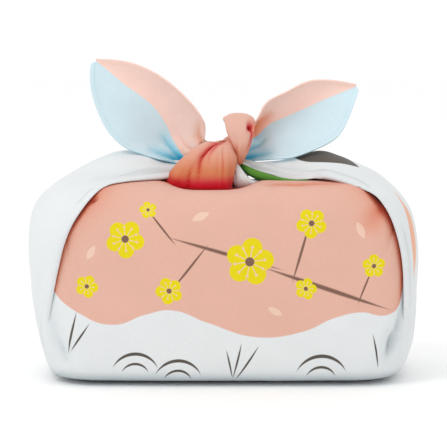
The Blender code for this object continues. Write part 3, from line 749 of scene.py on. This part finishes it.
def rope(name, rows, drift, depth_share, material, folds):
    """Gathered cloth along a path, with pleats that drift round it."""
    smooth = between(rows, ROPE_STEPS)
    path = [Vector(row[:3]) for row in smooth]
    rings = []
    for index, (*_, width, thickness, tilt) in enumerate(smooth):
        forward = (path[min(index + 1, len(path) - 1)] - path[max(index - 1, 0)]).normalized()
        turn = math.radians(tilt)
        across = Vector((math.cos(turn), 0, math.sin(turn)))
        outward = across.cross(forward).normalized()
        ring = []
        for face in range(ROPE_FACES):
            degrees = 360.0 * face / ROPE_FACES
            sink = 0.0
            for at, half_width, depth in PLEATS:
                gap = (degrees - at - drift * index / len(smooth) + 180.0) % 360.0 - 180.0
                wax = SHALLOW + WAX * math.sin(at + WAX_RATE * index / len(smooth))
                sink += depth_share * depth * wax * math.exp(-abs(gap / half_width) ** PLEAT_SHARPNESS)
            angle = math.radians(degrees)
            reach = across * width * math.cos(angle) + outward * thickness * math.sin(angle)
            ring.append(path[index] + reach * (1.0 - sink))
        rings.append(ring)
    points = np.array(rings)[:, ::-1]
    u = lengths(points, 0, ring=True)
    climb = np.concatenate(((0.0,), np.cumsum([(b - a).length for a, b in zip(path, path[1:])])))
    v = np.repeat(climb[:, None], ROPE_FACES, axis=1)
    points, deep = press(points, folds, ROPE_WAVER, ring=True, seen=FROM_FRONT)
    return lay(name, points, deep, u, v, material, ring=True, thick=0.0)


DEEP_SHADE_LOW, DEEP_SHADE_HIGH, HALF_SHADE_HIGH = 87.0, 94.0, 107.0      # heights of the knot's painted shade: full deep red below the first, coral at the second, plain salmon above the third


def knot_print(tree, place):
    """Salmon with painted shade: coral lower down, and deep red in its creases and where the knot sits low on
    the wrap.
    """
    where = add(tree, "ShaderNodeNewGeometry")
    split = add(tree, "ShaderNodeSeparateXYZ", {0: where.outputs["Position"]})
    low = add(tree, "ShaderNodeMapRange", {
        "Value": split.outputs["Z"], "From Min": DEEP_SHADE_HIGH * MM, "From Max": DEEP_SHADE_LOW * MM},
        interpolation_type="SMOOTHSTEP")
    mid = add(tree, "ShaderNodeMapRange", {
        "Value": split.outputs["Z"], "From Min": HALF_SHADE_HIGH * MM, "From Max": DEEP_SHADE_HIGH * MM})
    half_shaded = add(tree, "ShaderNodeMix", {
        0: mid.outputs[0], 6: linear(SALMON), 7: linear(KNOT_HALF_SHADE)}, data_type="RGBA")
    painted_shade = add(tree, "ShaderNodeAttribute", attribute_name="painted_shade")
    deep_shade = add(tree, "ShaderNodeMath", {
        0: low.outputs[0], 1: painted_shade.outputs["Fac"]}, operation="MAXIMUM")
    return add(tree, "ShaderNodeMix", {
        0: deep_shade.outputs[0], 6: half_shaded.outputs[2], 7: linear(KNOT_DEEP_SHADE)}, data_type="RGBA").outputs[2]


knot_cotton = cotton("cotton broadcloth, salmon, knotted", knot_print, painted_hollow_shade=0.5, painted_crease_shade=0.5)
gather_cotton = cotton("cotton broadcloth, white ground, gathered", plain_ground(()), painted_hollow_shade=0.5, painted_crease_shade=0.7)
green_leaf = plain_ground(((leaf, 0.0, 22.0, 24.0, 90.0, 0.5, (GREEN,)),))
green_cotton = cotton("cotton broadcloth, green leaf", green_leaf)
for name, rows, drift, depth_share, material, flat_size, area, folds in (
    ("knot_loop", LOOP, 40.0, 0.45, knot_cotton, (0.030, 0.055), 0.00165, LOOP_FOLDS),
    ("knot_crossing", CROSSING, -30.0, 1.0, knot_cotton, (0.034, 0.018), 0.00041, ()),
    ("knot_back", KNOT_BACK, 35.0, 1.0, knot_cotton, (0.036, 0.024), 0.00078, ()),
    ("left_gather", LEFT_GATHER, 20.0, 1.0, gather_cotton, (0.033, 0.030), 0.00092, ()),
    ("right_gather", RIGHT_GATHER, 30.0, 1.0, gather_cotton, (0.030, 0.036), 0.00091, ()),
    ("right_pleat", RIGHT_PLEAT, 10.0, 0.6, green_cotton, (0.010, 0.037), 0.00017, ()),
    ("right_bunch", RIGHT_BUNCH, 0.0, 1.2, gather_cotton, (0.024, 0.017), 0.00031, ()),
):
    gathered = rope(name, rows, drift, depth_share, material, folds)
    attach(gathered, "root")
    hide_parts("furoshiki_cloth")

# The front strand: the broad pleated fold that crosses the knot from its peak and tucks
# under it, folded along its creases. Each row of the table runs from the peak down.
# peak x, y, z, upper x, y, z, lower x, y, z, bottom x, y, z
STRAND = (
    (3.4, -7.5, 108.4, -10, -8.5, 104.8, -20.6, -9, 96.8, -26, -9, 89.4),
    (3.8, -10, 109.4, -9.4, -13.2, 106.2, -20, -14, 97.8, -26.2, -13, 89.6),
    (4, -12, 109.4, -7, -17.2, 106, -16.2, -19, 97.8, -22, -17.6, 87.8),
    (4, -12.6, 108.8, -4, -18.4, 105.6, -10.4, -20.8, 98, -15, -19.8, 86.8),
    (3.9, -12.8, 108.2, -1.8, -18.6, 104.6, -5.2, -21.6, 97.6, -7.4, -20.6, 86.5),
    (3.8, -12.6, 107.8, 0.2, -18.2, 103.8, 0.4, -21, 97.2, 0.2, -20, 86.5),
    (4, -11.8, 107.6, 3.4, -16, 103.8, 4.6, -18, 97.8, 3, -17.2, 86.4),
    (4.4, -10, 107.4, 4.6, -12.8, 103.8, 6.2, -13.4, 98.4, 3.9, -13, 86.6),
    (2.2, -7, 107.4, 3.6, -8.5, 103.4, 5, -9, 98, 2.8, -9, 87.6),
)
STRAND_FOLDS = (
    (0.9, -3.2, 1, (2, 0, 109.2), (-1.3, 0, 108.7), (-4.6, 0, 106.6), (-7.3, 0, 103.8),
     (-9.9, 0, 100.5), (-10.8, 0, 97.9), (-11.2, 0, 91), (-11.4, 0, 86)),
    (0.8, -1.2, 1.1, (1.3, 0, 107.9), (-2.4, 0, 106.1), (-5, 0, 103.5), (-6.5, 0, 101.2),
     (-6.9, 0, 96)),
    (0.6, -1, 1.1, (-15.8, 0, 86.5), (-15.6, 0, 91.5), (-14.7, 0, 94.5), (-12, 0, 99.5)),
    (0.35, -0.7, 1.2, (-0.2, 0, 86.5), (-0.1, 0, 91.9), (-0.1, 0, 97.5), (-0.4, 0, 103.1),
     (0.6, 0, 108)),
    (0.6, -0.25, 1.3, (-3.2, 0, 86.5), (-2.8, 0, 99.4), (-2, 0, 106)),
    (0.8, -0.3, 1.3, (2.4, 0, 86.5), (3.4, 0, 96), (2.4, 0, 106)),
    (2.6, 0.9, 2, (-21, 0, 91), (-13.5, 0, 101), (-4, 0, 107.5)),
    (0.7, -0.25, 1.3, (-20.5, 0, 88), (-17.5, 0, 95), (-12, 0, 102)),
)
PLEAT_STEPS, DOWN_STEPS = 9, 14
TUCKED = (0.4, 3.0, -0.8)     # the bottom turns back and down under the knot
STRAND_WIDTH, STRAND_WAVER = 25.0, 0.2


def strand_line(row):
    """One pleat line from the peak down to the bottom, and back under the knot."""
    ends = [row[i:i + 3] for i in (0, 3, 6, 9)]
    under = tuple(at + turn for at, turn in zip(ends[3], TUCKED))
    return between([tuple(end) for end in ends] + [under], DOWN_STEPS)


strand_points = np.array([strand_line(row) for row in between(STRAND, PLEAT_STEPS)])
strand_points = strand_points.transpose(1, 0, 2)[::-1]
strand_u = lengths(strand_points, 0)
across = np.linspace(0.0, STRAND_WIDTH, len(strand_points))
strand_v = np.repeat(across[:, None], strand_points.shape[1], axis=1)
strand_points, strand_deep = press(strand_points, STRAND_FOLDS, STRAND_WAVER, seen=FROM_FRONT)
strand = lay("knot_strand", strand_points, strand_deep, strand_u, strand_v, knot_cotton)
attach(strand, "root")
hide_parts("furoshiki_cloth")

# The ears: the two free corners of the cloth, spread like leaves. Each is one layer with
# a soft fold down its middle, where the print changes from salmon to light blue.
EAR_FACES, EAR_STEPS = 24, 8
# upper x, y, z, fold x, y, z, lower x, y, z
LEFT_EAR = (
    (-3, 1, 105.5, -4, 2.5, 102.5, -5, 1, 99.5),
    (-6.8, 0.4, 105.9, -11.8, 2.6, 99.4, -14, 0.4, 97.6),
    (-8.7, -0.8, 107.6, -17, 1.6, 99.2, -20.6, -3.5, 97.7),
    (-8.4, -2, 110.4, -20.4, 3.2, 102.6, -28.6, -8.5, 99.2),
    (-9.6, -5, 116, -23.6, 5.8, 107.7, -37.4, -9, 101.6),
    (-14.2, -7, 123, -26.8, 5, 114.6, -45.6, -10.5, 105.2),
    (-21.8, -8, 130.6, -31.6, 2.5, 121.6, -52.2, -10, 111.8),
    (-31.6, -8, 137.6, -38.2, 0, 127.4, -57, -10, 121.4),
    (-42.2, -7, 142, -45.6, -2, 132.8, -59.6, -9, 131.2),
    (-51.2, -6, 143.4, -52.6, -3.8, 139, -60.1, -7.4, 138.2),
    (-57.8, -5.6, 143.5, -57.6, -5.2, 142.9, -59.8, -6, 141.9),
)
RIGHT_EAR = (
    (7, -2, 107, 6.4, 1, 103, 6, 0, 99),
    (11, -2.6, 110, 9.6, 2, 104.4, 9.2, 0.4, 98.6),
    (14.8, -3.4, 114.6, 12.8, 3.8, 106.4, 14.2, -1, 98.4),
    (16.8, -4, 118.8, 16.2, 5, 109, 20.8, -3, 98.6),
    (20.4, -5.5, 124.6, 21.4, 5, 114, 31.4, -6, 99.4),
    (28.6, -6.5, 128.8, 30.4, 3.5, 118.2, 41.6, -7.5, 103),
    (38, -6.5, 133.4, 38.6, 1, 122, 51, -8, 108.4),
    (46.2, -5.5, 134.2, 46.2, -1, 125.6, 55.8, -7, 115.8),
    (54, -4.5, 133.4, 53.4, -2.4, 128.6, 59, -5.5, 123.8),
    (60.2, -3.6, 131.9, 60.2, -3.2, 131.4, 61.3, -3.8, 130),
)
LEFT_EAR_FOLDS = (
    (1.5, -2, 1.2, (-17.5, 0, 97.6), (-22.6, 0, 102.2), (-30, 0, 110.6)),
    (1.5, -2, 1.2, (-16.5, 0, 97.4), (-25, 0, 100.4), (-36, 0, 103.6)),
    (1.2, 0.8, 1.6, (-18, 0, 98.8), (-30, 0, 105.4)),
    (0.7, -0.9, 1.2, (-12, 0, 100.6), (-17, 0, 104), (-22.5, 0, 111)),
    (1.6, -1.3, 1.4, (-9.6, 0, 104), (-11.8, 0, 109), (-11, 0, 117)),
    (1, 0.6, 1.6, (-8.6, 0, 106), (-9.3, 0, 112.5)),
    (7, 0.8, 2, (-44, 0, 114), (-54, 0, 130)),
    (5, -0.6, 2, (-28, 0, 128), (-46, 0, 139)),
)
RIGHT_EAR_FOLDS = (
    (1.5, -1.9, 1.2, (9, 0, 99.2), (15, 0, 100.4), (24, 0, 101.6)),
    (0.9, -1.3, 1.2, (9, 0, 101.6), (16, 0, 104.4), (21, 0, 109)),
    (2.2, -1.9, 1.3, (14, 0, 109.5), (17, 0, 114.5), (23, 0, 120)),
    (1.4, 0.8, 1.6, (14, 0, 112), (18, 0, 121)),
    (7, 0.8, 2, (34, 0, 107), (50, 0, 118)),
    (4, -0.5, 2, (30, 0, 124), (44, 0, 130)),
)
EAR_THICK = 0.7              # its one layer with the gathers pressed into it
HEM, HEM_RISE = 2.0, 0.12    # the hem's width, and how much thicker the cloth is there
HEM_STEP, HEM_SHADE = 0.3, 0.1      # half the width of its step, and the shade beside it


def ear_line(row):
    """One line across an ear, an arc through its upper edge, fold and lower edge, finest at the edges."""
    upper, fold, lower = Vector(row[0:3]), Vector(row[3:6]), Vector(row[6:9])
    pull = 2 * fold - (upper + lower) / 2
    line = []
    for step in range(2 * EAR_FACES + 1):
        t = (1 - math.cos(math.pi * step / (2 * EAR_FACES))) / 2
        line.append((1 - t) ** 2 * upper + 2 * t * (1 - t) * pull + t**2 * lower)
    return line


# The ear's printed salmon, painted lighter in place of the light that passes through its one layer, then
# salmon and blue in painted crease shade
EAR_SALMON_LIT, EAR_SALMON_SHADE, EAR_BLUE_SHADE = "#F5D3C7", "#E08F5E", "#10B2D2"


def ear_print(tree, place):
    """Light blue on the lower side of the fold, salmon on the upper side, both turned to a deeper painted
    shade in a crease.
    """
    split = add(tree, "ShaderNodeSeparateXYZ", {0: place})
    side = add(tree, "ShaderNodeMapRange", {
        "Value": split.outputs["X"], "From Min": -PRINT_EDGE, "From Max": PRINT_EDGE})
    painted_shade = add(tree, "ShaderNodeAttribute", attribute_name="painted_shade")
    inks = []
    for salmon, blue in ((EAR_SALMON_LIT, BLUE), (EAR_SALMON_SHADE, EAR_BLUE_SHADE)):
        inks.append(add(tree, "ShaderNodeMix", {
            0: side.outputs[0], 6: linear(salmon), 7: linear(blue)}, data_type="RGBA").outputs[2])
    return add(tree, "ShaderNodeMix", {
        0: painted_shade.outputs["Fac"], 6: inks[0], 7: inks[1]}, data_type="RGBA").outputs[2]


ear_cotton = cotton("cotton broadcloth, salmon and light blue", ear_print, painted_hollow_shade=0.8, painted_crease_shade=0.15)
for name, rows, folds, turned, flat_size, area in (
    ("left_ear", LEFT_EAR, LEFT_EAR_FOLDS, True, (0.048, 0.073), 0.0023),
    ("right_ear", RIGHT_EAR, RIGHT_EAR_FOLDS, False, (0.039, 0.062), 0.0018),
):
    points = np.array([ear_line(row)[::-1 if turned else 1] for row in between(rows, EAR_STEPS)])
    ear_u = lengths(points, EAR_FACES) * (-1 if turned else 1)
    climb = np.linalg.norm(np.diff(points[:, EAR_FACES], axis=0), axis=1)
    ear_v = np.repeat(np.concatenate(((0.0,), np.cumsum(climb)))[:, None], points.shape[1], axis=1)
    width = np.abs(ear_u)
    upper_side = np.arange(points.shape[1]) < EAR_FACES
    inset = np.where(upper_side, width[:, :1] - width, width[:, -1:] - width)
    points, deep = press(points, folds, WAVER, seen=FROM_FRONT)
    points[..., 1] -= HEM_RISE * np.clip((HEM + HEM_STEP - inset) / (2 * HEM_STEP), 0.0, 1.0)
    deep = np.maximum(deep, HEM_SHADE * np.exp(-(((inset - HEM) / HEM_STEP) ** 2)))
    ear = lay(name, points, deep, ear_u, ear_v, ear_cotton, thick=EAR_THICK)
    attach(ear, "root")
    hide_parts("furoshiki_cloth")

# The studio: a wide table of matt white paper, which shows soft shadows and no gloss, before a
# white background. One softbox stands above at the left, and the camera a little above the wrap.
AIM = Vector((0.0, 0.0, 68.6)) * MM
DISTANCE, ELEVATION = 900.0 * MM, math.radians(5.5)
MM_PER_PIXEL, PICTURE, SENSOR = 0.459, 447, 36.0
TABLE_RADIUS, TABLE_DROP, TABLE_SIDES = 6.0, 0.0002, 96     # metres, the drop so that it clears the cloth
SOFTBOX, SOFTBOX_SIZE, SOFTBOX_POWER = Vector((-500.0, -600.0, 900.0)) * MM, 500.0 * MM, 2.4
WORLD_LIGHT = 1.03      # the white surround, which lights the wrap evenly from all sides
camera_data = bpy.data.cameras.new("camera")
camera_data.sensor_width = SENSOR
camera_data.lens = SENSOR * DISTANCE / (PICTURE * MM_PER_PIXEL * MM)
camera_data.clip_start, camera_data.clip_end = 0.01, 20.0
camera = bpy.data.objects.new("camera", camera_data)
bpy.context.scene.collection.objects.link(camera)
camera.location = AIM + DISTANCE * Vector((0.0, -math.cos(ELEVATION), math.sin(ELEVATION)))
camera.rotation_euler = (AIM - camera.location).to_track_quat("-Z", "Y").to_euler()
bpy.context.scene.camera = camera

table_mesh = bmesh.new()
bmesh.ops.create_circle(table_mesh, cap_ends=True, segments=TABLE_SIDES, radius=TABLE_RADIUS)
table_data = bpy.data.meshes.new("table")
table_mesh.to_mesh(table_data)
table_mesh.free()
table = bpy.data.objects.new("table", table_data)
bpy.context.scene.collection.objects.link(table)
table.location.z = -TABLE_DROP
paper = bpy.data.materials.new("matt white paper")
paper.use_nodes = True
paper_shader = paper.node_tree.nodes["Principled BSDF"]
paper_shader.inputs["Base Color"].default_value = linear("#FBFBFB")
paper_shader.inputs["Roughness"].default_value = 0.9
table_data.materials.append(paper)

world = bpy.data.worlds.new("studio")
bpy.context.scene.world = world
world.use_nodes = True
background = world.node_tree.nodes["Background"]
background.inputs["Color"].default_value = (1.0, 1.0, 1.0, 1.0)
background.inputs["Strength"].default_value = WORLD_LIGHT
light_data = bpy.data.lights.new("softbox above left", "AREA")
light_data.shape = "DISK"
light_data.size = SOFTBOX_SIZE
light_data.energy = SOFTBOX_POWER
light = bpy.data.objects.new("softbox above left", light_data)
bpy.context.scene.collection.objects.link(light)
light.location = SOFTBOX
light.rotation_euler = (AIM - light.location).to_track_quat("-Z", "Y").to_euler()

bpy.context.scene.view_settings.view_transform = "Standard"
